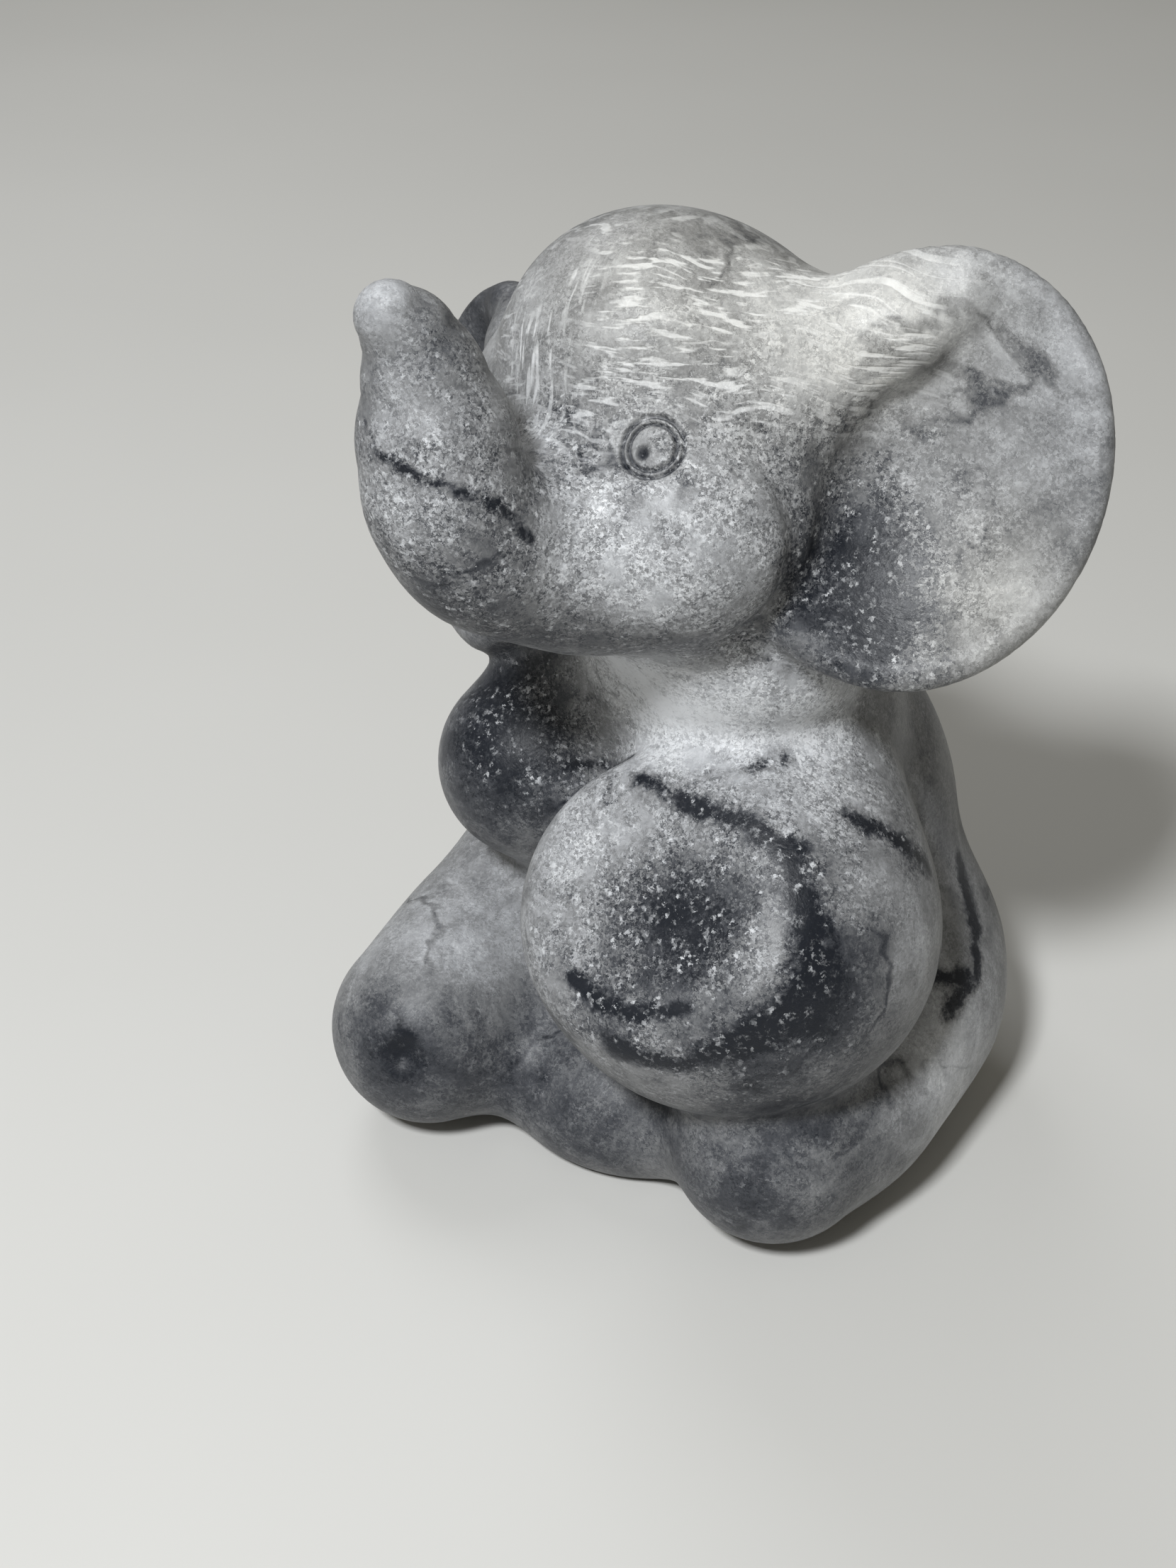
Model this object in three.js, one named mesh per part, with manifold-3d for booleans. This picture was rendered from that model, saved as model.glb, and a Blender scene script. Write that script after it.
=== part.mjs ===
// A young elephant sitting up with its trunk raised, carved from one block of veined stone.
// It is a single solid: nothing is fitted, glued or hinged. Millimetres, +Z up, facing -Y.
import * as THREE from "three";
import Module from "manifold-3d";

// Driving dimensions. The near side is the elephant's left, +X.
const HEAD_AT = [0, -4, 52]; // middle of the head
const HEAD_TURN = [-22, -12, 0]; // degrees: it looks up, and tilts to its right
const FOOT = 7; // radius of a hind foot
const SOLE_FACING = [0.05, -0.74, 0.67]; // way the sole of the near foreleg looks
const EAR_THICK = 3.4;
const EAR_DISH = 3.5; // depth of the hollow of an ear
const EAR_LEAN = 9; // degrees: the top of an ear leans outward
const NEAR_EAR = { side: 1, centre: [16.3, 2.8, -1.2], half: [10.8, 13], sweep: 31 };
const FAR_EAR = { side: -1, centre: [17.4, 0.5, -4.8], half: [10, 12.2], sweep: 17 };
const EYE = [7.6, -10.7, -1.5]; // on the head, before it is dropped on to the surface
const EYE_RING = 1.8; // radius of the groove round an eye
const EYE_GROOVE = 0.35; // radius of the groove's section
const BLEND = 4; // usual radius of the valleys between two forms
const CREASE = 2; // the same, between the near foreleg and the body
const SOLE_EDGE = 2; // radius round the sole of the near foreleg
const CELL = 1.76; // edge of the grid cells that the surface is drawn on
const GRID_LOW = new THREE.Vector3(-36, -36, -8);
const GRID_HIGH = new THREE.Vector3(36, 26, 72);

const radians = THREE.MathUtils.degToRad;

// Where something sits: a position, and a turn in degrees about X, then Y, then Z.
function pose(position, turn) {
  return new THREE.Matrix4()
    .makeRotationFromEuler(new THREE.Euler(...turn.map(radians), "ZYX"))
    .setPosition(new THREE.Vector3(...position));
}

const headPose = pose(HEAD_AT, HEAD_TURN);

// ---------- forms: each is a function of a point that gives its distance outside the form ----------

// An ellipsoid, turned about Z.
function egg(centre, radii, turn = 0) {
  const toLocal = pose(centre, [0, 0, turn]).invert();
  const radius = new THREE.Vector3(...radii);
  const q = new THREE.Vector3();
  return (p) => {
    q.copy(p).applyMatrix4(toLocal).divide(radius);
    const stretched = q.length();
    const slope = q.divide(radius).length();
    return slope < 1e-9 ? -Math.min(...radii) : (stretched * (stretched - 1)) / slope;
  };
}

// Balls strung on a smooth curve, each row [x, y, z, radius].
function limb(rows, steps = 10) {
  const path = new THREE.CatmullRomCurve3(rows.map(([x, y, z]) => new THREE.Vector3(x, y, z)));
  const count = steps * (rows.length - 1);
  const points = [];
  const radii = [];
  for (let i = 0; i <= count; i++) {
    const at = i / steps;
    const row = Math.min(Math.floor(at), rows.length - 2);
    const between = THREE.MathUtils.smoothstep(at - row, 0, 1);
    points.push(path.getPoint(i / count));
    radii.push(THREE.MathUtils.lerp(rows[row][3], rows[row + 1][3], between));
  }
  const along = new THREE.Vector3();
  const away = new THREE.Vector3();
  return (p) => {
    let best = Infinity;
    for (let i = 0; i < count; i++) {
      along.subVectors(points[i + 1], points[i]);
      away.subVectors(p, points[i]);
      const t = THREE.MathUtils.clamp(away.dot(along) / along.lengthSq(), 0, 1);
      const distance = away.addScaledVector(along, -t).length();
      best = Math.min(best, distance - THREE.MathUtils.lerp(radii[i], radii[i + 1], t));
    }
    return best;
  };
}

// Everything behind a plane through a point, for a flat sole.
function behind(point, facing) {
  const normal = new THREE.Vector3(...facing).normalize();
  const offset = normal.dot(new THREE.Vector3(...point));
  return (p) => normal.dot(p) - offset;
}

function blendedMin(a, b, k) {
  const h = Math.max(k - Math.abs(a - b), 0) / k;
  return Math.min(a, b) - (h * h * k) / 4;
}

const joined = (k, ...forms) => (p) => forms.reduce((d, form) => blendedMin(d, form(p), k), 1e3);
const trimmed = (k, form, other) => (p) => -blendedMin(-form(p), -other(p), k);

// A form carried along by a pose.
function placed(form, matrix) {
  const toLocal = matrix.clone().invert();
  return (p) => form(p.clone().applyMatrix4(toLocal));
}

// ---------- the figure, without the plates of its ears ----------

const torso = joined(
  6,
  egg([0.7, 3.5, 17.5], [15.2, 15, 18.5]),
  egg([-0.8, 0, 33], [11.2, 10, 10]),
  egg([6, -4.5, 39.5], [8, 7, 6]),
  egg([1.5, -7, 4], [12, 12.5, 7.5]),
);

// Hind legs lie flat on the ground with their round feet forward.
const nearHind = joined(
  4,
  egg([11.8, 4, 9.5], [8.6, 12, 10]),
  limb([
    [14, 3, 8.5, FOOT + 1],
    [16.4, -4.5, FOOT + 0.3, FOOT + 0.3],
    [16.3, -11.5, FOOT, FOOT],
  ]),
);
const farHind = joined(
  4,
  egg([-11.5, 1, 9.5], [8, 11, 10]),
  limb([
    [-11.5, 2, 9, FOOT + 1],
    [-11.5, -9, 8.5, FOOT],
    [-8.9, -19.7, FOOT, FOOT],
  ]),
);

// Forelegs are held up in front. The near one is thicker and shows its flattened sole.
const nearFore = trimmed(
  SOLE_EDGE,
  joined(
    4,
    egg([11.7, -11, 21.7], [13.2, 11.5, 11.9], 40),
    egg([9.3, -15.6, 26], [8.3, 8.3, 8.3]),
    limb([
      [7, 0, 31, 7],
      [11.6, -7, 24, 9],
    ]),
  ),
  behind([9.8, -18, 28], SOLE_FACING),
);
const farFore = limb([
  [-7, 0, 31, 6.5],
  [-8.6, -8.8, 24.8, 6.9],
]);

const trunk = limb([
  [0, -9.5, -8, 6],
  [0, -15, -8.2, 5.2],
  [0, -18.4, -6, 4.9],
  [0, -19.9, -2.9, 4.6],
  [0, -21.2, 0.2, 3.6],
  [0, -22.6, 2.6, 2.7],
  [0, -24.3, 3.8, 2],
]);

// The thick front edge of an ear, running out of the side of the head.
const earRoot = ({ side, centre: [, y, z] }) =>
  limb([
    [side * 8, y - 3.8, z + 4.8, 4.8],
    [side * 13, y - 1.3, z + 7.6, 3.3],
    [side * 17, y + 0.6, z + 10.2, 1.7],
  ]);

const head = joined(
  4,
  egg([0, 0.3, 0], [11.2, 11.5, 12]),
  egg([0, -4.5, 4], [8.3, 7.7, 7.7]),
  egg([6.5, -5, -6], [6.5, 7, 6.5]),
  egg([-6.5, -5, -6], [6.5, 7, 6.5]),
  egg([0, -4, -9.2], [8, 7, 4.5]),
  trunk,
  earRoot(NEAR_EAR),
  earRoot(FAR_EAR),
);

// The near foreleg meets the body in a tighter crease than the rest.
const body = joined(BLEND, torso, nearHind, farHind, farFore, placed(head, headPose));
const figure = joined(CREASE, body, nearFore);

// ---------- the surface, as a net with one vertex in each grid cell that the surface crosses ----------

function surfaceNet(field, low, high, cell) {
  const n = new THREE.Vector3().subVectors(high, low).divideScalar(cell).ceil().addScalar(1);
  const [nx, ny, nz] = [n.x, n.y, n.z];
  const at = (i, j, k) => (k * ny + j) * nx + i;
  const gridPoint = (i, j, k) => new THREE.Vector3(i, j, k).multiplyScalar(cell).add(low);
  const values = new Float32Array(nx * ny * nz);
  for (let k = 0; k < nz; k++)
    for (let j = 0; j < ny; j++)
      for (let i = 0; i < nx; i++) values[at(i, j, k)] = field(gridPoint(i, j, k));

  // Where a grid square has its inside corners crosswise the surface would pinch, so the corner that is
  // only just outside is taken in.
  const squares = [[1, nx], [1, nx * ny], [nx, nx * ny]];
  const justInside = -0.05 * cell;
  for (let changed = true; changed; ) {
    changed = false;
    for (let a = 0; a < values.length - nx * ny - nx; a++)
      for (const [right, up] of squares) {
        const square = [a, a + right, a + right + up, a + up];
        const [p, q, r, s] = square.map((i) => values[i] < 0);
        if (p !== r || q !== s || p === q) continue;
        const [one, other] = square.filter((i) => values[i] >= 0);
        values[values[one] < values[other] ? one : other] = justInside;
        changed = true;
      }
  }

  const corners = [];
  for (let c = 0; c < 8; c++) corners.push(new THREE.Vector3(c & 1, (c >> 1) & 1, (c >> 2) & 1));
  const edges = [];
  for (let a = 0; a < 8; a++)
    for (const bit of [1, 2, 4]) if (!(a & bit)) edges.push([a, a | bit]);

  const vertices = [];
  const vertexOf = new Map();
  const margin = 0.05; // a vertex stays this far inside its cell, as a share of the cell
  for (let k = 0; k < nz - 1; k++)
    for (let j = 0; j < ny - 1; j++)
      for (let i = 0; i < nx - 1; i++) {
        const v = corners.map((corner) => values[at(i + corner.x, j + corner.y, k + corner.z)]);
        const crossed = edges.filter(([a, b]) => v[a] < 0 !== v[b] < 0);
        if (crossed.length === 0) continue;
        const middle = new THREE.Vector3();
        for (const [a, b] of crossed)
          middle.add(new THREE.Vector3().lerpVectors(corners[a], corners[b], v[a] / (v[a] - v[b])));
        middle.divideScalar(crossed.length);
        const outward = new THREE.Vector3();
        corners.forEach((corner, c) => outward.addScaledVector(corner.clone().subScalar(0.5), v[c]));
        outward.normalize();
        const vertex = gridPoint(i + middle.x, j + middle.y, k + middle.z);
        const cellLow = gridPoint(i + margin, j + margin, k + margin);
        const cellHigh = gridPoint(i + 1 - margin, j + 1 - margin, k + 1 - margin);
        for (let step = 0; step < 3; step++)
          vertex.addScaledVector(outward, -field(vertex)).clamp(cellLow, cellHigh);
        vertexOf.set(at(i, j, k), vertices.length);
        vertices.push(vertex);
      }

  const index = [];
  const quad = (a, b, c, d) => {
    if (vertices[a].distanceTo(vertices[c]) < vertices[b].distanceTo(vertices[d])) index.push(a, b, c, a, c, d);
    else index.push(a, b, d, b, c, d);
  };
  for (let k = 1; k < nz - 1; k++)
    for (let j = 1; j < ny - 1; j++)
      for (let i = 1; i < nx - 1; i++) {
        const here = values[at(i, j, k)] < 0;
        const around = [
          [at(i + 1, j, k), at(i, j - 1, k - 1), at(i, j, k - 1), at(i, j, k), at(i, j - 1, k)],
          [at(i, j + 1, k), at(i - 1, j, k - 1), at(i - 1, j, k), at(i, j, k), at(i, j, k - 1)],
          [at(i, j, k + 1), at(i - 1, j - 1, k), at(i, j - 1, k), at(i, j, k), at(i - 1, j, k)],
        ];
        for (const [next, ...cells] of around) {
          if (here === values[next] < 0) continue;
          const [a, b, c, d] = cells.map((cellAt) => vertexOf.get(cellAt));
          if (here) quad(a, b, c, d);
          else quad(a, d, c, b);
        }
      }
  const geometry = new THREE.BufferGeometry().setFromPoints(vertices);
  return geometry.setIndex(index);
}

// ---------- solids ----------

const wasm = await Module();
wasm.setup();

// A closed solid from a geometry, with the vertices that coincide made one.
function solid(geometry) {
  const corner = new THREE.Vector3();
  const seen = new Map();
  const points = [];
  const from = geometry.getAttribute("position");
  const index = Array.from(geometry.index.array, (i) => {
    corner.fromBufferAttribute(from, i);
    const key = corner.toArray().map((x) => Math.round(x * 1e4)).join();
    if (!seen.has(key)) {
      seen.set(key, points.length / 3);
      points.push(...corner);
    }
    return seen.get(key);
  });
  const triangles = [];
  for (let t = 0; t < index.length; t += 3) {
    const [a, b, c] = index.slice(t, t + 3);
    if (a !== b && b !== c && c !== a) triangles.push(a, b, c);
  }
  return new wasm.Manifold(
    new wasm.Mesh({ numProp: 3, vertProperties: new Float32Array(points), triVerts: new Uint32Array(triangles) }),
  );
}

// The plate of an ear: oval, hollow in front, with a round edge.
function earPlate({ side, centre, half, sweep }) {
  const roundFrom = 0.8; // share of the radius where the edge starts to round
  const radii = [0, 0.18, 0.36, 0.54, 0.7, 0.82, 0.91, 0.97];
  const middle = (r) => EAR_DISH * (1 - r * r);
  const halfThick = (r) => (EAR_THICK / 2) * Math.sqrt(1 - (Math.max(r - roundFrom, 0) / (1 - roundFrom)) ** 2);
  const front = radii.map((r) => new THREE.Vector2(r, middle(r) - halfThick(r)));
  const back = radii.map((r) => new THREE.Vector2(r, middle(r) + halfThick(r)));
  const profile = [...front, new THREE.Vector2(1, 0), ...back.reverse()];
  const turn = [0, side * EAR_LEAN, side * sweep];
  const plate = new THREE.LatheGeometry(profile, 44)
    .scale(half[0], 1, half[1])
    .applyMatrix4(headPose.clone().multiply(pose([side * centre[0], centre[1], centre[2]], turn)));
  return solid(plate);
}

// The drilled groove round an eye, square to the surface that the eye sits on.
function eyeGroove(side) {
  const centre = new THREE.Vector3(side * EYE[0], EYE[1], EYE[2]).applyMatrix4(headPose);
  const slope = new THREE.Vector3();
  const reach = 0.5;
  for (let step = 0; step < 4; step++) {
    for (const axis of ["x", "y", "z"]) {
      const ahead = centre.clone();
      ahead[axis] += reach;
      slope[axis] = (figure(ahead) - figure(centre)) / reach;
    }
    slope.normalize();
    centre.addScaledVector(slope, -figure(centre));
  }
  const facing = new THREE.Quaternion().setFromUnitVectors(new THREE.Vector3(0, 0, 1), slope);
  const ring = new THREE.TorusGeometry(EYE_RING, EYE_GROOVE, 6, 28).applyQuaternion(facing);
  return solid(ring.translate(...centre));
}

// The underside is ground flat, so that the carving stands.
const ground = solid(new THREE.BoxGeometry(100, 100, 20).translate(0, 0, -10));

const carving = solid(surfaceNet(figure, GRID_LOW, GRID_HIGH, CELL))
  .add(earPlate(NEAR_EAR))
  .add(earPlate(FAR_EAR))
  .subtract(eyeGroove(1))
  .subtract(eyeGroove(-1))
  .subtract(ground);

const { vertProperties, triVerts } = carving.getMesh();
const geometry = new THREE.BufferGeometry()
  .setAttribute("position", new THREE.BufferAttribute(vertProperties, 3))
  .setIndex(new THREE.BufferAttribute(triVerts, 1));
geometry.computeBoundingBox();
const middle = geometry.boundingBox.getCenter(new THREE.Vector3());
geometry.translate(-middle.x, -middle.y, 0);
geometry.computeVertexNormals();

const stone = new THREE.MeshStandardMaterial({ color: 0x9b9c9e, roughness: 0.45, metalness: 0 });
const elephant = new THREE.Mesh(geometry, stone);
elephant.name = "elephant_carving";

const model = new THREE.Group();
model.add(elephant);
export default model;
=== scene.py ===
"""A young stone elephant sitting up with its trunk raised, carved from one block of veined marble.

One piece, stone_elephant, replaces the CAD node elephant_carving. It is drawn from the same forms, on a
finer net, with the carved details that the coarse CAD net leaves out. Its stone is a node material. Forms
and marks are in millimetres, and the finished mesh is in metres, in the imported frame.
"""

import math

import bmesh
import bpy
import numpy as np
import openvdb
from mathutils import Euler, Matrix, Vector


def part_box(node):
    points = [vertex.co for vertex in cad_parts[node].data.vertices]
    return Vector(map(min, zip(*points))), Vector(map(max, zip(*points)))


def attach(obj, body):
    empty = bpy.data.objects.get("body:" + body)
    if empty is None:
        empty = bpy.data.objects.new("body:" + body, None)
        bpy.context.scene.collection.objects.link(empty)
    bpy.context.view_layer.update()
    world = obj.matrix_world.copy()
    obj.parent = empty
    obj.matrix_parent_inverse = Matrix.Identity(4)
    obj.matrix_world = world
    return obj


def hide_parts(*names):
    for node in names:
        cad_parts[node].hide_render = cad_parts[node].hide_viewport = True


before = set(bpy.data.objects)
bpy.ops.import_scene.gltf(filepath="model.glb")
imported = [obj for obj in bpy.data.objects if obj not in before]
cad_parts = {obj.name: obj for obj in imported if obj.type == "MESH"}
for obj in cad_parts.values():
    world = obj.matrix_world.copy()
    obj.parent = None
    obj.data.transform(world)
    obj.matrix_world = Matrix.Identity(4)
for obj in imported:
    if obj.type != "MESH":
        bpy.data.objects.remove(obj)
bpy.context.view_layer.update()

LOW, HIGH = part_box("elephant_carving")
DRAWN_HEIGHT = 66.31  # mm, of the forms below
MM = (HIGH.z - LOW.z) / DRAWN_HEIGHT  # metres in one millimetre of the drawing
BASE_MIDDLE = Vector(((LOW.x + HIGH.x) / 2, (LOW.y + HIGH.y) / 2, LOW.z))


# ---------- camera ----------

CAMERA_AZIMUTH, CAMERA_ELEVATION = 40, 33  # degrees, from the front towards the elephant's left
CAMERA_DISTANCE = 150  # mm
CAMERA_ANGLE = 40  # degrees, over the long side of the picture
CAMERA_NEAREST = 0.01  # metres
LOOKS_NEAR = (-0.4, 4.9, 28.0)  # mm from the middle of the base
AIMS_BESIDE = (-8.4, -4.9)  # mm, the picture's middle, right of and above that point


def looking(place, aim):
    """Where a camera or a light stands so that it looks from one place at another."""
    return Matrix.Translation(place) @ (place - aim).to_track_quat("Z", "Y").to_matrix().to_4x4()


def make_camera():
    azimuth, elevation = math.radians(CAMERA_AZIMUTH), math.radians(CAMERA_ELEVATION)
    level = math.cos(elevation)
    back = Vector((math.sin(azimuth) * level, -math.cos(azimuth) * level, math.sin(elevation)))
    right = Vector((math.cos(azimuth), math.sin(azimuth), 0))
    up = back.cross(right)
    near = BASE_MIDDLE + Vector(LOOKS_NEAR) * MM
    place = near + back * CAMERA_DISTANCE * MM
    aim = near + (right * AIMS_BESIDE[0] + up * AIMS_BESIDE[1]) * MM
    camera = bpy.data.objects.new("camera", bpy.data.cameras.new("camera"))
    camera.data.angle = math.radians(CAMERA_ANGLE)
    camera.data.clip_start = CAMERA_NEAREST
    camera.matrix_world = looking(place, aim)
    bpy.context.scene.collection.objects.link(camera)
    bpy.context.scene.camera = camera


make_camera()


# ---------- forms: each is a function of points that gives how far, in mm, they lie outside it ----------


def turned(turn):
    """The matrix of a turn in degrees about X, then Y, then Z."""
    return np.array(Euler([math.radians(angle) for angle in turn], "XYZ").to_matrix())


def placed(form, position, turn=(0, 0, 0)):
    rotation = turned(turn)
    return lambda p: form((p - np.array(position)) @ rotation)


def egg(centre, radii, turn=0):
    """An ellipsoid, turned about Z."""
    radii = np.array(radii, float)

    def form(p):
        q = p / radii
        stretched = np.linalg.norm(q, axis=1)
        slope = np.linalg.norm(q / radii, axis=1)
        return stretched * (stretched - 1) / np.maximum(slope, 1e-9)

    return placed(form, centre, (0, 0, turn))


def smooth_path(points, steps):
    """Points on a centripetal Catmull-Rom curve through the ones given."""
    points = np.array(points, float)
    padded = np.vstack([2 * points[0] - points[1], points, 2 * points[-1] - points[-2]])
    t = (np.arange(steps) / steps)[:, None]
    path = []
    for a, b, c, d in zip(padded, padded[1:], padded[2:], padded[3:]):
        ab, bc, cd = (math.sqrt(np.linalg.norm(gap)) for gap in (b - a, c - b, d - c))
        leaving = ((b - a) / ab - (c - a) / (ab + bc) + (c - b) / bc) * bc
        arriving = ((c - b) / bc - (d - b) / (bc + cd) + (d - c) / cd) * bc
        ends = (2 * t**3 - 3 * t**2 + 1) * b + (3 * t**2 - 2 * t**3) * c
        path.append(ends + (t**3 - 2 * t**2 + t) * leaving + (t**3 - t**2) * arriving)
    return np.vstack([*path, points[-1:]])


def limb(*rows, steps=10):
    """Balls strung on a smooth curve, each row x, y, z, radius."""
    points = smooth_path([row[:3] for row in rows], steps)
    at = np.arange(steps) / steps
    ease = at * at * (3 - 2 * at)
    radii = [row[3] + (after[3] - row[3]) * ease for row, after in zip(rows, rows[1:])]
    radii = np.concatenate([*radii, [rows[-1][3]]])

    def form(p):
        best = np.full(len(p), np.inf)
        for a, b, radius, after in zip(points, points[1:], radii, radii[1:]):
            along, away = b - a, p - a
            t = np.clip(away @ along / (along @ along), 0, 1)
            distance = np.linalg.norm(away - t[:, None] * along, axis=1)
            best = np.minimum(best, distance - radius - (after - radius) * t)
        return best

    return form


DISH_SLANT = 0.85  # a dish's middle slants, so a distance along Y is longer than the true one


def dish(half, depth, thick):
    """An oval plate with a round edge, hollow towards -Y. Half gives its half width and half height."""
    edge = thick / 2

    def form(p):
        u, v = p[:, 0] / half[0], p[:, 2] / half[1]
        r = np.hypot(u, v)
        slope = np.maximum(np.hypot(u / half[0], v / half[1]), 1e-9)
        across = r * (r - 1) / slope + edge
        through = (np.abs(p[:, 1] - depth * (1 - r * r)) - edge) * DISH_SLANT + edge
        outside = np.hypot(np.maximum(across, 0), np.maximum(through, 0))
        return outside + np.minimum(np.maximum(across, through), 0) - edge

    return form


def behind(point, facing):
    """Everything behind a plane through a point, for a flat sole."""
    normal = np.array(facing) / np.linalg.norm(facing)
    return lambda p: (p - np.array(point)) @ normal


def blended(a, b, k):
    h = np.maximum(k - np.abs(a - b), 0) / k
    return np.minimum(a, b) - h * h * k / 4


def joined(k, first, *others):
    """Forms joined with valleys of radius k between them."""

    def form(p):
        distance = first(p)
        for other in others:
            distance = blended(distance, other(p), k)
        return distance

    return form


def trimmed(k, form, other):
    return lambda p: -blended(-form(p), -other(p), k)


def outward(form, p, reach=0.05):
    """The unit directions in which a form's distance grows fastest, from points a short reach away."""
    slopes = [form(p + reach * axis) - form(p - reach * axis) for axis in np.eye(3)]
    slopes = np.stack(slopes, axis=1)
    return slopes / np.linalg.norm(slopes, axis=1, keepdims=True)


DROPS = 3  # moves that bring a point on to a surface


def dropped(form, p):
    """Points near a form's surface moved on to it."""
    direction = outward(form, p)
    for _ in range(DROPS):
        p = p - form(p)[:, None] * direction
    return p


# ---------- the figure, facing -Y ----------

HEAD_AT = (0, -4, 52)
HEAD_TURN = (-22, -12, 0)  # it looks up, and tilts to its right
FOOT = 7  # radius of a hind foot
SOLE_FACING = (0.05, -0.74, 0.67)  # way the sole of the near foreleg looks
EAR_THICK, EAR_DISH = 3.4, 3.5
EAR_LEAN = 9  # degrees: the top of an ear leans outward
NEAR_EAR = {"side": 1, "centre": (16.3, 2.8, -1.2), "half": (10.8, 13), "sweep": 31}
FAR_EAR = {"side": -1, "centre": (17.4, 0.5, -4.8), "half": (10, 12.2), "sweep": 17}
EYE = (7.6, -10.7, -1.5)  # on the head, before it is dropped on to the surface
BLEND = 4  # usual radius of the valleys between two forms
BELLY_BLEND, EAR_BLEND, CREASE = 6, 1.5, 2  # the same in the torso, round an ear, round the near foreleg
SOLE_EDGE = 2  # radius round the sole of the near foreleg


def ear_root(side, centre, **_):
    """The thick front edge of an ear, running out of the side of the head."""
    _, y, z = centre
    return limb(
        (side * 8, y - 3.8, z + 4.8, 4.8),
        (side * 13, y - 1.3, z + 7.6, 3.3),
        (side * 17, y + 0.6, z + 10.2, 1.7),
    )


def ear(side, centre, half, sweep):
    plate = dish(half, EAR_DISH, EAR_THICK)
    return placed(plate, (side * centre[0], *centre[1:]), (0, side * EAR_LEAN, side * sweep))


def head_form():
    trunk = limb(
        (0, -9.5, -8, 6),
        (0, -15, -8.2, 5.2),
        (0, -18.4, -6, 4.9),
        (0, -19.9, -2.9, 4.6),
        (0, -21.2, 0.2, 3.6),
        (0, -22.6, 2.6, 2.7),
        (0, -24.3, 3.8, 2),
    )
    skull = joined(
        BLEND,
        egg((0, 0.3, 0), (11.2, 11.5, 12)),
        egg((0, -4.5, 4), (8.3, 7.7, 7.7)),
        egg((6.5, -5, -6), (6.5, 7, 6.5)),
        egg((-6.5, -5, -6), (6.5, 7, 6.5)),
        egg((0, -4, -9.2), (8, 7, 4.5)),
        trunk,
        ear_root(**NEAR_EAR),
        ear_root(**FAR_EAR),
    )
    return joined(EAR_BLEND, skull, ear(**NEAR_EAR), ear(**FAR_EAR))


def torso_form():
    return joined(
        BELLY_BLEND,
        egg((0.7, 3.5, 17.5), (15.2, 15, 18.5)),
        egg((-0.8, 0, 33), (11.2, 10, 10)),
        egg((6, -4.5, 39.5), (8, 7, 6)),
        egg((1.5, -7, 4), (12, 12.5, 7.5)),
    )


def hind_forms():
    """Hind legs lie flat on the ground with their round feet forward."""
    near_shin = limb((14, 3, 8.5, FOOT + 1), (16.4, -4.5, FOOT + 0.3, FOOT + 0.3), (16.3, -11.5, FOOT, FOOT))
    far_shin = limb((-11.5, 2, 9, FOOT + 1), (-11.5, -9, 8.5, FOOT), (-8.9, -19.7, FOOT, FOOT))
    near = joined(BLEND, egg((11.8, 4, 9.5), (8.6, 12, 10)), near_shin)
    far = joined(BLEND, egg((-11.5, 1, 9.5), (8, 11, 10)), far_shin)
    return near, far


def fore_forms():
    """Forelegs are held up in front. The near one is thicker and shows its flattened sole."""
    near = joined(
        BLEND,
        egg((11.7, -11, 21.7), (13.2, 11.5, 11.9), 40),
        egg((9.3, -15.6, 26), (8.3, 8.3, 8.3)),
        limb((7, 0, 31, 7), (11.6, -7, 24, 9)),
    )
    far = limb((-7, 0, 31, 6.5), (-8.6, -8.8, 24.8, 6.9))
    return trimmed(SOLE_EDGE, near, behind((9.8, -18, 28), SOLE_FACING)), far


def figure_form():
    """The whole elephant, ground flat underneath."""
    head = placed(head_form(), HEAD_AT, HEAD_TURN)
    near_fore, far_fore = fore_forms()
    body = joined(BLEND, torso_form(), *hind_forms(), far_fore, head)
    body = joined(CREASE, body, near_fore)
    return lambda p: np.maximum(body(p), -p[:, 2])


# ---------- the mesh ----------

CELL = 0.5  # mm, of the net that the surface is drawn on
COARSE = 5  # cells along a block that is skipped where the surface is far off
FAR_OFF = COARSE * CELL * 1.6  # mm, from a block's middle
GRID_LOW, GRID_HIGH = np.array((-29, -31, -2)), np.array((29, 22, 69))


def net(form):
    """Corners and square faces on a form's surface."""
    low, high = GRID_LOW / CELL, GRID_HIGH / CELL
    shape = (np.ceil((high - low) / COARSE) * COARSE).astype(int)
    blocks = np.indices(shape // COARSE).reshape(3, -1).T * COARSE
    middles = (blocks + COARSE / 2) * CELL + GRID_LOW
    near = np.abs(form(middles)) < FAR_OFF
    steps = np.indices((COARSE,) * 3).reshape(3, -1).T
    values = np.zeros(shape)
    values[tuple(blocks.T)] = form(blocks * CELL + GRID_LOW)
    for step in steps:
        values[tuple((blocks + step).T)] = values[tuple(blocks.T)]
        cells = blocks[near] + step
        values[tuple(cells.T)] = form(cells * CELL + GRID_LOW)
    grid = openvdb.FloatGrid()
    grid.copyFromArray(values)
    corners, squares = grid.convertToQuads(0.0)
    return np.array(corners) * CELL + GRID_LOW, np.array(squares)


def refine(mesh, centre, reach, cuts):
    """Cuts the faces within reach of a point more finely."""
    work = bmesh.new()
    work.from_mesh(mesh)
    edges = [
        edge for edge in work.edges
        if ((edge.verts[0].co + edge.verts[1].co) / 2 - centre).length < reach
    ]
    bmesh.ops.subdivide_edges(work, edges=edges, cuts=cuts, use_grid_fill=True)
    bmesh.ops.triangulate(work, faces=[face for face in work.faces if len(face.verts) > 4])
    work.to_mesh(mesh)
    work.free()


def points_of(mesh):
    points = np.empty(len(mesh.vertices) * 3)
    mesh.vertices.foreach_get("co", points)
    return points.reshape(-1, 3)


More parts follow.
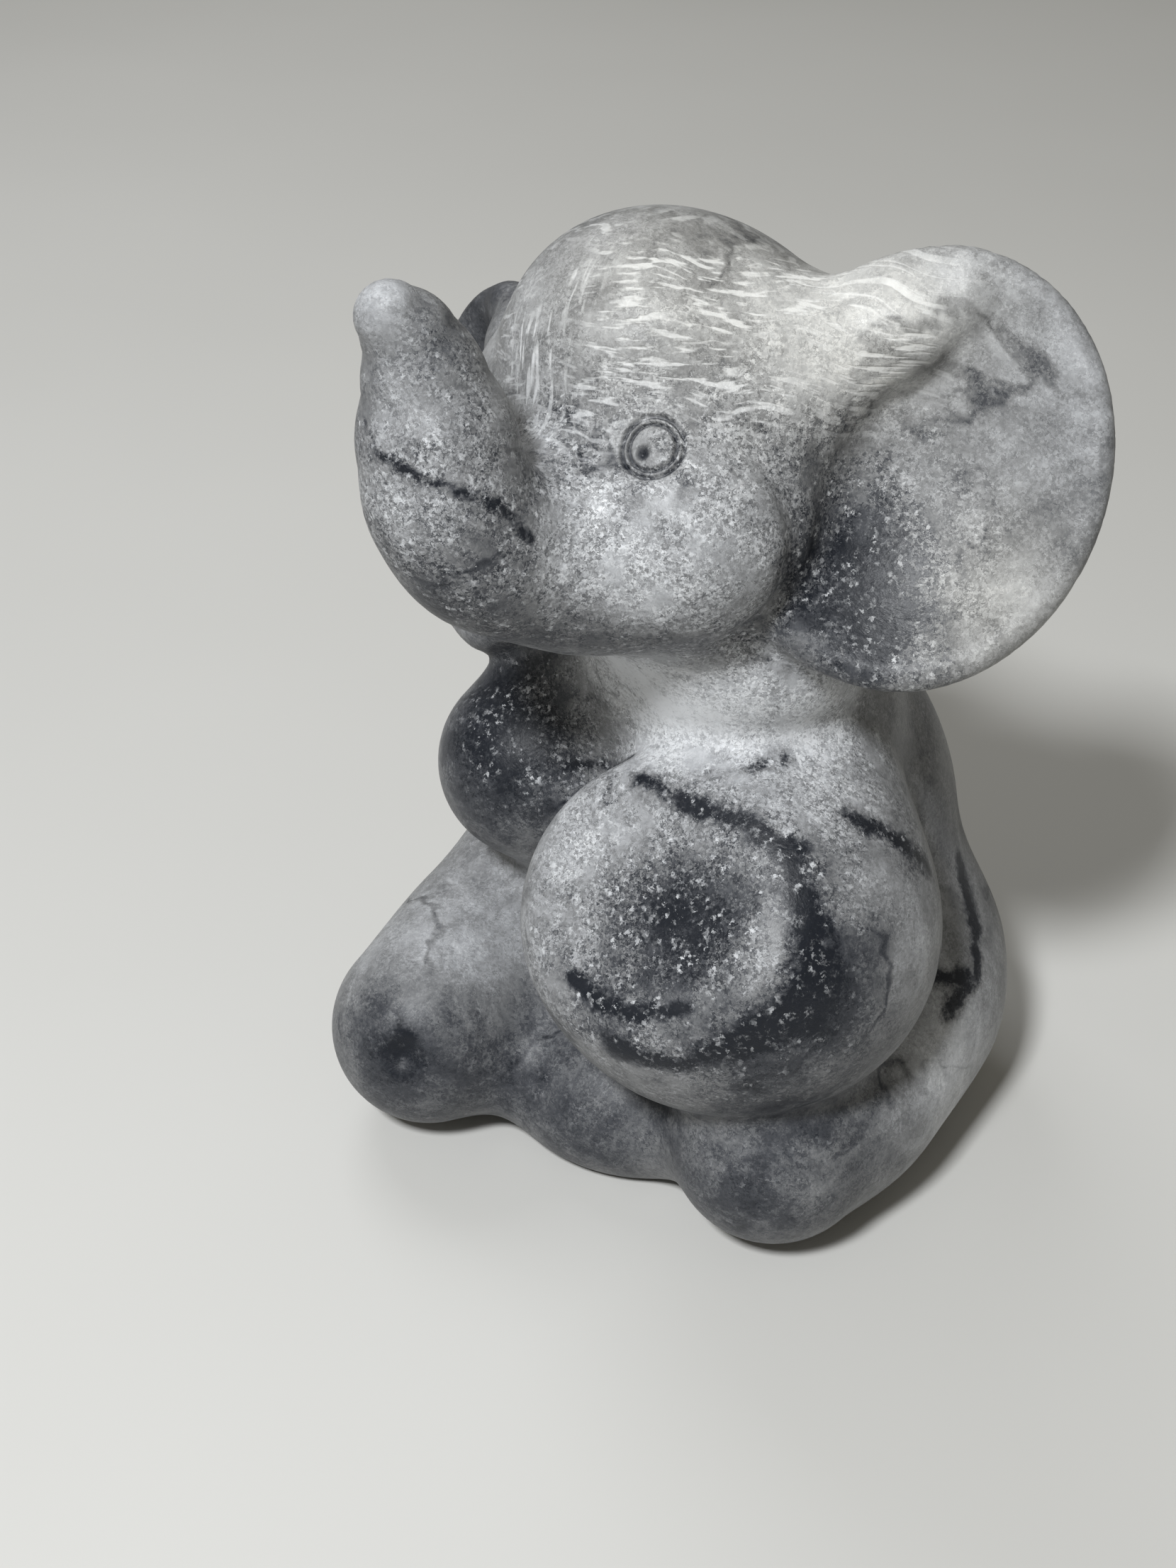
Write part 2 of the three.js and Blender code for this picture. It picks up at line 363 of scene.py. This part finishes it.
def path_distance(points, way):
    """How far each point is from a line through several places."""
    nearest = np.full(len(points), np.inf)
    for a, b in zip(way, way[1:]):
        along, away = np.subtract(b, a), points - np.array(a)
        t = np.clip(away @ along / (along @ along), 0, 1)
        nearest = np.minimum(nearest, np.linalg.norm(away - t[:, None] * along, axis=1))
    return nearest


def bump_round(distance, middle, half_width):
    """1 at a distance, falling smoothly to 0 at half a width from it."""
    return np.cos(np.clip((distance - middle) / half_width, -1, 1) * math.pi / 2) ** 2


RINGS, RING_WIDTH, RING_DEPTH = (1.4, 1.82), 0.24, 0.3  # grooves round an eye: radii, half width, depth
EYE_REACH, EYE_CUTS = RINGS[1] * 1.5, 4  # how far round an eye, and how finely, the net is cut
PUPIL_ASIDE, PUPIL, PUPIL_DEPTH = (-0.4, -0.5), 0.6, 0.4  # a pit, right of and above an eye's middle
EYEBALL_RISE = 0.3
CHEEK_CREASE = ((10.3, -5.5, -1), (11.2, -3.8, -4.5), (10.6, -3, -8.5), (9, -3.5, -11.5))  # on the head
CREASE_DEPTH, CREASE_WIDTH = 0.45, 2
DIMPLE_AT, DIMPLE, DIMPLE_DEPTH = (-5.5, -25.2, 9.6), 2.0, 0.7  # on the far hind foot
DIMPLE_REACH, DIMPLE_CUTS = DIMPLE * 1.4, 1


def carve_eye(points, centre, facing):
    """How far points round an eye rise in its low dome, and how deep its groove and pupil are cut."""
    across = np.cross((0, 0, 1), facing)
    across /= np.linalg.norm(across)
    upward = np.cross(facing, across)
    away = points - centre
    x, y = away @ across, away @ upward
    r = np.hypot(x, y)
    pit = np.hypot(x - PUPIL_ASIDE[0], y - PUPIL_ASIDE[1])
    at_eye = np.abs(away @ facing) < EYE_REACH
    dome = EYEBALL_RISE * bump_round(r, 0, RINGS[0]) * at_eye
    cut = PUPIL_DEPTH * bump_round(pit, 0, PUPIL)
    for ring in RINGS:
        cut += RING_DEPTH * bump_round(r, ring, RING_WIDTH)
    return dome, cut * at_eye


def carving_mesh(form):
    """The mesh, its points with the carved details in them, and how deep each point is cut, 0 to 1."""
    corners, squares = net(form)
    mesh = bpy.data.meshes.new("elephant_carving")
    mesh.from_pydata(corners, [], squares.tolist())
    head = turned(HEAD_TURN)
    eyes = np.array([(side * EYE[0], *EYE[1:]) for side in (1, -1)]) @ head.T + HEAD_AT
    eyes = dropped(form, eyes)
    dimple = dropped(form, np.array([DIMPLE_AT]))
    for eye in eyes:
        refine(mesh, Vector(eye), EYE_REACH, EYE_CUTS)
    refine(mesh, Vector(dimple[0]), DIMPLE_REACH, DIMPLE_CUTS)
    points = dropped(form, points_of(mesh))
    direction = outward(form, points)
    rise = -DIMPLE_DEPTH * bump_round(np.linalg.norm(points - dimple, axis=1), 0, DIMPLE)
    for side in (1, -1):
        way = np.array([(side * x, y, z) for x, y, z in CHEEK_CREASE]) @ head.T + HEAD_AT
        rise -= CREASE_DEPTH * bump_round(path_distance(points, dropped(form, way)), 0, CREASE_WIDTH)
    cuts = np.zeros(len(points))
    for eye, facing in zip(eyes, outward(form, eyes)):
        dome, cut = carve_eye(points, eye, facing)
        rise += dome - cut
        cuts += cut
    points += rise[:, None] * direction
    return mesh, points, np.clip(cuts / RING_DEPTH, 0, 1)


# ---------- marks in the stone, and painted light and shade, in mm from the middle of the base ---

# Each zone is x, y, z, radius, strength. Above 0 it is paler than the stone round it. Some zones are the
# stone's own tone, and some are painted shade or painted light, as marked below.
TONE_AND_SHADE_ZONES = (
    (2, -6, 64, 9, 0.2),  # crown
    (6, -3, 63, 6, 0.25),  # temple
    (12, 1, 60, 5, 0.8),  # root of the near ear
    (13, 6, 64, 6, 0.3),
    (10, -12, 51, 5, 0.42),  # cheek
    (5, -13, 53, 4, 0.15),
    (9, -9, 43.5, 4, -0.35),  # painted shade under the chin
    (-3, -21, 66, 2.5, 0.6),  # tip of the trunk: paler stone, with a painted highlight on its top
    (0, -22, 59, 3, 0.25),
    (1, -23, 54, 2, 0.3),
    (5, -16, 50, 2.5, 0.2),
    (0, -18, 63, 4, -0.3),  # painted shade on the trunk's shaded side and under it
    (4, -19, 54, 4, -0.1),
    (1, -21, 48.5, 5, -0.45),
    (5, -15, 46, 4, -0.4),
    (2.5, -8.5, 60.5, 2, -0.12),  # brow
    (8, -5, 59, 2, -0.15),
    (12, -0.5, 53.5, 4, -0.4),  # behind the eye
    (12.5, -3, 48, 3, -0.5),  # painted shade in the valley in front of and under the near ear
    (14.5, 1, 49, 4, -0.7),
    (17, -0.5, 45.5, 3.5, -0.7),
    (15.7, -2.5, 44, 3, -0.5),
    (12.8, 2.5, 61, 3, -0.3),  # painted shade in the hollow under the near ear's front edge
    (17, 7.5, 58, 7, 0.25),  # inside of the near ear
    (17, 5.5, 52.5, 5, 0.15),
    (22, 2.5, 46.5, 5, 0.2),
    (-20.5, 3, 53, 7, -0.6),  # far ear
    (3, -5, 38.5, 6, 1.3),  # chest: paler stone, with painted light where the head's shadow falls
    (9, -2, 39, 6, 0.85),
    (-6.5, -7.5, 30, 6, -0.7),  # far foreleg: darker stone, with painted shade
    (-11, -6, 31, 5, -0.6),
    (-8, -11, 24, 5, -0.4),
    (1, -12, 29, 4, 0.25),  # sole of the near foreleg
    (4, -16, 25.5, 5, 0.3),
    (12.5, -13.3, 28, 4.2, -1.05),
    (16, -13.3, 27.5, 3, -0.3),
    (11, -18, 23, 3, -0.5),
    (19, -12, 27.3, 2.2, 0.35),
    (21.5, -10.5, 25.3, 3, -0.95),
    (22, -7.5, 27, 2.5, -0.3),
    (14.5, -2, 34, 4.5, 0.35),  # top of the near foreleg
    (19.6, -14, 20, 5, -0.5),  # painted shade under the near foreleg
    (22, 4, 20.5, 4.5, -0.3),  # side of the body
    (18, 11, 15.5, 4, 0.2),  # near hip: paler stone, with painted light on its shaded side
    (21.5, 4, 10, 6, 0.75),
    (19, -11, 8, 9, -0.55),  # near hind foot: darker stone, with painted shade low down
    (21.5, -10, 9.5, 2.5, 0.35),
    (3, -13, 7.5, 9, -0.6),  # belly: darker stone, with painted shade low down
    (-8, -19, 10, 7, -0.5),  # far hind leg: darker stone, with painted shade low down
    # far thigh: paler stone, with painted light on its shaded side
    (-7, -13, 13.5, 7, 0.55),
    # painted shade in the dimple on the far hind foot
    (-6, -20.5, 9.6, 2.2, -0.7),
    (1, 13, 45, 6, 0.4),  # back
    (-9, 15, 19, 6, 0.45),
    (6, 16, 30, 6, -0.35),
    (9, 17, 10, 5, 0.35),
)

# Each vein is its half width, then points along it.
VEINS = (
    (0.3, (5.5, -9, 32.7), (9, -9.2, 33), (12, -8.8, 33), (14.5, -8, 32.8), (17, -8, 31.8)),
    (0.5, (17, -8, 31.8), (19.5, -9, 29.5), (21, -10, 27), (21, -12, 24.5), (19.3, -14.3, 22.8)),
    (0.35, (19.3, -14.3, 22.8), (16, -16.5, 20.3), (12, -17.5, 20.5)),
    (0.3, (17.4, -3, 32.5), (19, -1, 31), (20.5, 1.5, 28)),
    (0.28, (14.7, 13, 18.5), (17, 12, 16), (20.4, 9.5, 14), (20.7, 5.4, 13.3)),
    (0.3, (22.6, 1, 21.6), (22, 5, 18), (20, 8.6, 14.4)),
    (0.13, (-1, -23, 57.8), (0.8, -22.7, 57.3), (2.7, -21, 56.3), (3.7, -19, 55), (4.5, -17.3, 52.5)),
    (0.22, (8, -17.8, 23.3), (10.3, -18, 22.8), (13.3, -17.3, 23), (16, -15.8, 24.3)),
    (0.25, (11.5, -5.2, 34.4), (12.5, -3, 34.6)),
    (0.12, (2.5, -7, 32.4), (-2.7, -7, 28.5)),
    (0.4, (-14, 6, 34), (-13, 12, 27), (-8, 17, 21), (0, 19, 17), (8, 17.5, 10)),
    (0.3, (-8, 17, 21), (-9, 16, 12), (-15, 11, 6)),
    (0.35, (-16, 1, 52), (-8, 8, 55), (0, 9, 52), (8, 8, 47)),
)
VEIN_REACH = 6  # half widths, from the middle of a vein to where its attribute ends
VEIN_STEPS = 4  # short steps for each point of a vein

# Spots are x, y, z, radius. The rasp's strokes go round the forehead and on to the root of the near ear, and
# down along the forehead's front edge, but not over the eye.
WORN = ((2, -7, 62, 7), (-2, -7, 60, 5), (7, -4, 62, 5), (12, 2, 62, 5))
WORN_DOWN = ((-3, -7, 63, 2.5), (-3, -9, 60, 2.5), (-1.5, -12, 58, 2.5))
UNWORN = ((6.8, -9.6, 56.3, 3.2),)
WARM_SPOTS = ((2, -4, 64, 9), (12, 3, 62, 8), (22, 3, 47, 6))
CRYSTAL_SPOTS = (
    (6, -12, 53, 8),  # cheek
    (12, -4, 52, 7),  # behind the eye
    (15, 0, 47, 6),  # valley in front of the near ear
    (0, -20, 55, 7),  # trunk
    (11, -14, 27, 9),  # sole of the near foreleg
    (14, -3, 33, 6),
    (5, -4, 37, 8),  # chest
    (-6, -8, 31, 4),  # far foreleg
    (-4, 16, 26, 9),  # back
)
CRYSTALS_EVERYWHERE = 0.25
USUAL_TONE = 0.5
HEAD_RADIUS = 12


def soft_spot(points, centre, radius):
    return np.exp(-((np.linalg.norm(points - np.array(centre), axis=1) / radius) ** 2))


def soft_spots(points, spots, strength=1):
    """Soft spots laid over each other, each x, y, z, radius."""
    return sum(soft_spot(points, spot[:3], spot[3]) for spot in spots) * strength


def tone_and_shade_at(points):
    """How pale the stone is, with painted shade and painted light from some zones, 0 to 1."""
    zones = sum(strength * soft_spot(points, (x, y, z), r) for x, y, z, r, strength in TONE_AND_SHADE_ZONES)
    return USUAL_TONE * (1 + zones)


def on_surface(form, way, shift):
    """A line through several places, in short steps that lie on a form's surface."""
    steps = np.linspace(0, len(way) - 1, VEIN_STEPS * len(way))
    line = np.stack([np.interp(steps, range(len(way)), axis) for axis in np.transpose(way)], axis=1)
    return dropped(form, line + shift) - shift


def vein_at(points, form, shift):
    """1 in the middle of a vein, falling to 0 where its reach ends."""
    nearest = np.full(len(points), np.inf)
    for half_width, *way in VEINS:
        nearest = np.minimum(nearest, path_distance(points, on_surface(form, way, shift)) / half_width)
    return np.clip(1 - nearest / VEIN_REACH, 0, 1)


def worn_down_at(points):
    return np.clip(soft_spots(points, WORN_DOWN, 1.2), 0, 1)


def worn_at(points):
    worn = np.clip(soft_spots(points, WORN, 1.3), 0, 1)
    return worn * (1 - worn_down_at(points)) * (1 - soft_spots(points, UNWORN))


def warm_at(points):
    return np.clip(soft_spots(points, WARM_SPOTS), 0, 1)


def crystals_at(points):
    """How thick the white flakes lie."""
    return np.clip(CRYSTALS_EVERYWHERE + soft_spots(points, CRYSTAL_SPOTS), 0, 1)


def round_head(points, shift):
    """Arc length round the head and height up it, in mm, for strokes that follow it."""
    local = (points + shift - HEAD_AT) @ turned(HEAD_TURN)
    angle = np.arctan2(local[:, 0], -local[:, 1])
    return np.stack([angle * HEAD_RADIUS, local[:, 2], np.zeros(len(points))], axis=1)


def add_attribute(mesh, name, values):
    kind, field = ("FLOAT", "value") if values.ndim == 1 else ("FLOAT_VECTOR", "vector")
    mesh.attributes.new(name, kind, "POINT").data.foreach_set(field, values.ravel().astype(np.float32))


# ---------- marble ----------


class Nodes:
    """Short calls that each add a node to a material. A value can be a number or another node's socket."""

    def __init__(self, name):
        self.material = bpy.data.materials.new(name)
        self.material.use_nodes = True
        self.tree = self.material.node_tree
        self.shader = self.tree.nodes["Principled BSDF"]

    def add(self, kind, inputs, **settings):
        node = self.tree.nodes.new("ShaderNode" + kind)
        for key, value in settings.items():
            setattr(node, key, value)
        for key, value in inputs.items():
            self.set(node.inputs[key], value)
        return node

    def set(self, socket, value):
        if isinstance(value, bpy.types.NodeSocket):
            self.tree.links.new(value, socket)
        else:
            socket.default_value = value

    def math(self, operation, a, b=0.0, c=0.0):
        """MULTIPLY_ADD gives a * b + c."""
        return self.add("Math", {0: a, 1: b, 2: c}, operation=operation).outputs[0]

    def vector(self, operation, a, b):
        return self.add("VectorMath", {0: a, 1: b}, operation=operation).outputs[0]

    def scaled(self, vector, factor):
        return self.add("VectorMath", {0: vector, "Scale": factor}, operation="SCALE").outputs[0]

    def noise(self, at, scale, detail=2.0, roughness=0.5, distortion=0.0, output="Fac"):
        inputs = {"Vector": at, "Scale": scale, "Detail": detail}
        inputs |= {"Roughness": roughness, "Distortion": distortion}
        return self.add("TexNoise", inputs).outputs[output]

    def ramp(self, value, start, end, low=0.0, high=1.0):
        """A smooth step from low to high as a value goes from start to end."""
        inputs = {"Value": value, "From Min": start, "From Max": end, "To Min": low, "To Max": high}
        return self.add("MapRange", inputs, interpolation_type="SMOOTHSTEP").outputs["Result"]

    def mix(self, factor, a, b, blend="MIX"):
        node = self.add("Mix", {}, data_type="RGBA", blend_type=blend, clamp_factor=True)
        for socket, value in zip((node.inputs[0], node.inputs[6], node.inputs[7]), (factor, a, b)):
            self.set(socket, value)
        return node.outputs[2]

    def colours(self, value, *stops):
        """A colour from a value, each stop its position and its colour."""
        node = self.add("ValToRGB", {"Fac": value})
        elements = node.color_ramp.elements
        while len(elements) < len(stops):
            elements.new(0.5)
        for element, (position, colour) in zip(elements, stops):
            element.position = position
            element.color = (*colour, 1)
        return node.outputs["Color"]

    def attribute(self, name, output="Fac"):
        return self.add("Attribute", {}, attribute_name=name).outputs[output]


WHITE = (0.72, 0.735, 0.76, 1)
WARM = (1.0, 0.975, 0.91, 1)
TONES = (
    (0.0, (0.008, 0.010, 0.015)),
    (0.25, (0.052, 0.055, 0.063)),
    (0.5, (0.185, 0.188, 0.193)),
    (0.75, (0.365, 0.372, 0.386)),
    (1.0, (0.61, 0.62, 0.635)),
)

# Sizes of the patterns, each as how many go into a millimetre.
DRIFT_FINENESS, CLOUD_FINENESS, MOTTLE_FINENESS = 0.13, 0.11, 0.5
RAGGED_FINENESS = 2  # edges of the painted shade in the cuts
VEIN_WANDER_FINENESS, HAIR_FINENESS, HAIR_PATCH_FINENESS = 0.6, 0.07, 0.14
SHAKE_FINENESS, GRAIN_FINENESS, FLAKE_FINENESS = 4, 7.0, 4.0
GRAIN_PATCH_FINENESS, CLUSTER_FINENESS = 0.42, 1.1
BEND_FINENESS, STROKE_EDGE_FINENESS, STROKE_PATCH_FINENESS = 0.14, 3.0, 0.2

DRIFT = 7  # mm that the clouds are pulled about
SHAKE = 0.75  # mm that the grains' edges are shaken, so that they are ragged
STROKE_BEND = 3  # mm
# Each family of strokes: how fine it is along and across the head, and where it lies.
STROKE_FAMILIES = ((0.5, 2.4, "worn"), (2.0, 0.3, "worn_down"))

# How much each thing changes the tone. The cut's share is painted shade in the eye's grooves and pupil.
CLOUDS, MOTTLE, CUT_SHADE = 0.8, 0.55, -0.75
VEIN_CORE, VEIN_BORDER, HAIR = 0.35, 0.35, 0.22
VEIN_WANDER, STROKE_EDGE = 1.6, 0.16  # how ragged their edges are
GRAIN_LEAST, GRAIN = 0.1, 0.5

FLAKE_WHITE, STROKE_WHITE = 0.7, 0.7  # how much of WHITE they take
ROUGHNESS, MOTTLE_ROUGHNESS, WHITE_ROUGHNESS = 0.43, 0.25, 0.15
POLISH = 0.28  # specular level
GLOW, GLOW_COLOUR, GLOW_DEPTH = 0.12, (1.0, 0.9, 0.8), 0.8  # light under the surface, depth in mm
GRAIN_RELIEF, FLAKE_RELIEF, STROKE_RELIEF, MOTTLE_RELIEF = 1.2, 0.4, -0.7, 1.2
RELIEF, RELIEF_STRENGTH = 0.12, 0.6  # mm, and how strongly it shades


def marble():
    """Grey marble: clouds and zones, slate veins, a mosaic of fine crystals, and white rasp strokes, with
    painted shade and painted light in some zones and painted shade in the eye's cuts.
    """
    n = Nodes("marble")
    place = n.scaled(n.add("TexCoord", {}).outputs["Object"], 1 / MM)
    drift = n.vector("SUBTRACT", n.noise(place, DRIFT_FINENESS, 3, output="Color"), (0.5, 0.5, 0.5))
    flow = n.vector("ADD", place, n.scaled(drift, DRIFT))

    clouds = n.math("SUBTRACT", n.noise(flow, CLOUD_FINENESS, 5, 0.62), 0.5)
    mottle = n.math("SUBTRACT", n.noise(flow, MOTTLE_FINENESS, 5, 0.65), 0.5)
    tone = n.math("MULTIPLY_ADD", clouds, CLOUDS, n.attribute("tone"))
    tone = n.math("MULTIPLY_ADD", mottle, MOTTLE, tone)
    tone = n.math("SUBTRACT", tone, vein_darkness(n, place, flow))
    crystal, flake = crystals(n, place)
    tone = n.math("ADD", tone, crystal)
    # Painted shade in the eye's grooves and pupil, with ragged edges.
    ragged_cut_shade = n.math("MULTIPLY", n.attribute("cut"), n.noise(place, RAGGED_FINENESS, 4, 0.7))
    tone = n.math("MULTIPLY_ADD", ragged_cut_shade, CUT_SHADE, tone)
    colour = n.colours(tone, *TONES)
    colour = n.mix(n.math("MULTIPLY", flake, FLAKE_WHITE), colour, WHITE)
    strokes = rasp_strokes(n, place)
    colour = n.mix(n.math("MULTIPLY", strokes, STROKE_WHITE), colour, WHITE)
    colour = n.mix(n.attribute("warm"), colour, n.mix(1.0, colour, WARM, "MULTIPLY"))

    n.set(n.shader.inputs["Base Color"], colour)
    rough = n.math("MULTIPLY_ADD", mottle, MOTTLE_ROUGHNESS, ROUGHNESS)
    rough = n.math("MULTIPLY_ADD", n.math("MAXIMUM", flake, strokes), WHITE_ROUGHNESS, rough)
    n.set(n.shader.inputs["Roughness"], rough)
    n.set(n.shader.inputs["Specular IOR Level"], POLISH)
    n.set(n.shader.inputs["Subsurface Weight"], GLOW)
    n.set(n.shader.inputs["Subsurface Radius"], GLOW_COLOUR)
    n.set(n.shader.inputs["Subsurface Scale"], GLOW_DEPTH * MM)

    height = n.math("MULTIPLY_ADD", crystal, GRAIN_RELIEF, n.math("MULTIPLY", flake, FLAKE_RELIEF))
    height = n.math("MULTIPLY_ADD", strokes, STROKE_RELIEF, height)
    height = n.math("MULTIPLY_ADD", mottle, MOTTLE_RELIEF, height)
    bump = n.add("Bump", {"Height": height, "Distance": RELIEF * MM, "Strength": RELIEF_STRENGTH})
    n.set(n.shader.inputs["Normal"], bump.outputs["Normal"])
    return n.material


def vein_darkness(n, place, flow):
    """How much the veins darken the stone: a ragged core, a soft border, and stray hairlines."""
    wander = n.math("SUBTRACT", n.noise(place, VEIN_WANDER_FINENESS, 6, 0.75), 0.5)
    near_vein = n.math("MULTIPLY_ADD", wander, VEIN_WANDER, n.attribute("vein"))
    core = n.ramp(near_vein, 0.66, 0.95, 0, VEIN_CORE)
    border = n.ramp(near_vein, 0.3, 0.9, 0, VEIN_BORDER)
    hair = n.math("ABSOLUTE", n.math("SUBTRACT", n.noise(flow, HAIR_FINENESS, 4, 0.5), 0.5))
    patches = n.ramp(n.noise(place, HAIR_PATCH_FINENESS, 2), 0.45, 0.62)
    hair = n.math("MULTIPLY", n.ramp(hair, 0.02, 0.0, 0, HAIR), patches)
    return n.math("ADD", n.math("ADD", core, border), hair)


def crystals(n, place):
    """Grains under the polish, lighter or darker than the ones beside them, and white flakes among them."""
    jitter = n.vector("SUBTRACT", n.noise(place, SHAKE_FINENESS, 3, 0.75, output="Color"), (0.5, 0.5, 0.5))
    shaken = n.vector("ADD", place, n.scaled(jitter, SHAKE))
    grain = n.add("TexVoronoi", {"Vector": shaken, "Scale": GRAIN_FINENESS})
    grain = n.add("SeparateColor", {0: grain.outputs["Color"]}).outputs[0]
    cloudy = n.ramp(n.noise(place, GRAIN_PATCH_FINENESS, 5, 0.7), 0.34, 0.58)
    thickness = n.math("MULTIPLY", cloudy, n.attribute("crystals"))
    contrast = n.math("MULTIPLY_ADD", thickness, GRAIN, GRAIN_LEAST)
    crystal = n.math("MULTIPLY", n.math("SUBTRACT", grain, 0.5), contrast)
    flake = n.add("TexVoronoi", {"Vector": shaken, "Scale": FLAKE_FINENESS})
    flake = n.add("SeparateColor", {0: flake.outputs["Color"]}).outputs[1]
    clusters = n.ramp(n.noise(place, CLUSTER_FINENESS, 4, 0.7), 0.4, 0.62)
    flake = n.math("MULTIPLY", n.ramp(flake, 0.74, 1.0), n.ramp(thickness, 0.05, 0.8))
    return crystal, n.math("MULTIPLY", flake, clusters)


def rasp_strokes(n, place):
    """Short white strokes that follow the head round, in loose families."""
    bend = n.math("SUBTRACT", n.noise(place, BEND_FINENESS, 1), 0.5)
    split = n.add("SeparateXYZ", {0: n.attribute("round_head", "Vector")})
    along, up = split.outputs[0], split.outputs[1]
    up = n.math("MULTIPLY_ADD", bend, STROKE_BEND, up)
    edge = n.math("SUBTRACT", n.noise(place, STROKE_EDGE_FINENESS, 3, 0.6), 0.5)
    edge = n.math("MULTIPLY", edge, STROKE_EDGE)
    strokes = 0.0
    for fine_along, fine_up, mask in STROKE_FAMILIES:
        parts = {0: n.math("MULTIPLY", along, fine_along), 1: n.math("MULTIPLY", up, fine_up)}
        streak = n.noise(n.add("CombineXYZ", parts).outputs[0], 1.0, 2, 0.5, 0.2)
        stroke = n.ramp(n.math("ADD", streak, edge), 0.5, 0.64)
        strokes = n.math("MAXIMUM", strokes, n.math("MULTIPLY", stroke, n.attribute(mask)))
    return n.math("MULTIPLY", strokes, n.ramp(n.noise(place, STROKE_PATCH_FINENESS, 3), 0.34, 0.52))


# ---------- the carving ----------


def make_carving():
    """The elephant, its marks as attributes, seated in the middle of its place on the ground."""
    form = figure_form()
    mesh, points, cuts = carving_mesh(form)
    middle = (points.min(axis=0) + points.max(axis=0)) / 2
    shift = np.array((*middle[:2], 0))
    points = points - shift
    add_attribute(mesh, "tone", tone_and_shade_at(points))
    add_attribute(mesh, "vein", vein_at(points, form, shift))
    add_attribute(mesh, "warm", warm_at(points))
    add_attribute(mesh, "worn", worn_at(points))
    add_attribute(mesh, "worn_down", worn_down_at(points))
    add_attribute(mesh, "crystals", crystals_at(points))
    add_attribute(mesh, "cut", cuts)
    add_attribute(mesh, "round_head", round_head(points, shift))
    seated = points * MM + np.array(BASE_MIDDLE)
    mesh.vertices.foreach_set("co", seated.ravel())
    mesh.polygons.foreach_set("use_smooth", np.ones(len(mesh.polygons), bool))
    mesh.update()
    mesh.materials.append(marble())
    carving = bpy.data.objects.new("stone_elephant", mesh)
    bpy.context.scene.collection.objects.link(carving)
    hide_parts("elephant_carving")
    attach(carving, "root")


make_carving()


# ---------- floor and light ----------


FLOOR_HALF, FLOOR_GAP = 3.0, 0.0002  # metres, half its width, and its distance under the carving
FLOOR_DARK, FLOOR_PALE = (0.53, 0.525, 0.505), (0.56, 0.555, 0.535)


def make_floor():
    mesh = bpy.data.meshes.new("floor")
    signs = ((-1, -1), (1, -1), (1, 1), (-1, 1))
    corners = [(x * FLOOR_HALF, y * FLOOR_HALF, LOW.z - FLOOR_GAP) for x, y in signs]
    mesh.from_pydata(corners, [], [(0, 1, 2, 3)])
    n = Nodes("table")
    place = n.add("TexCoord", {}).outputs["Object"]
    colour = n.colours(n.noise(place, 9, 3), (0.3, FLOOR_DARK), (0.7, FLOOR_PALE))
    n.set(n.shader.inputs["Base Color"], colour)
    n.set(n.shader.inputs["Roughness"], 0.6)
    mesh.materials.append(n.material)
    floor = bpy.data.objects.new("floor", mesh)
    bpy.context.scene.collection.objects.link(floor)


def make_light(name, offset, size, power, colour):
    """A square soft light, in metres from the middle of the object, which it looks at."""
    data = bpy.data.lights.new(name, "AREA")
    data.size = size
    data.energy = power
    data.color = colour
    light = bpy.data.objects.new(name, data)
    aim = (LOW + HIGH) / 2
    light.matrix_world = looking(aim + Vector(offset), aim)
    bpy.context.scene.collection.objects.link(light)


def make_world(colour, strength):
    world = bpy.data.worlds.new("room")
    world.use_nodes = True
    background = world.node_tree.nodes["Background"]
    background.inputs["Color"].default_value = (*colour, 1)
    background.inputs["Strength"].default_value = strength
    bpy.context.scene.world = world


make_floor()
make_light("lamp", offset=(0.08, -0.26, 0.33), size=0.06, power=2.2, colour=(0.96, 0.98, 1.0))
make_light("window", offset=(-0.30, 0.10, 0.30), size=0.20, power=0.5, colour=(0.95, 0.97, 1.0))
make_world(colour=(1.0, 0.96, 0.84), strength=0.2)
bpy.context.scene.view_settings.view_transform = "Standard"
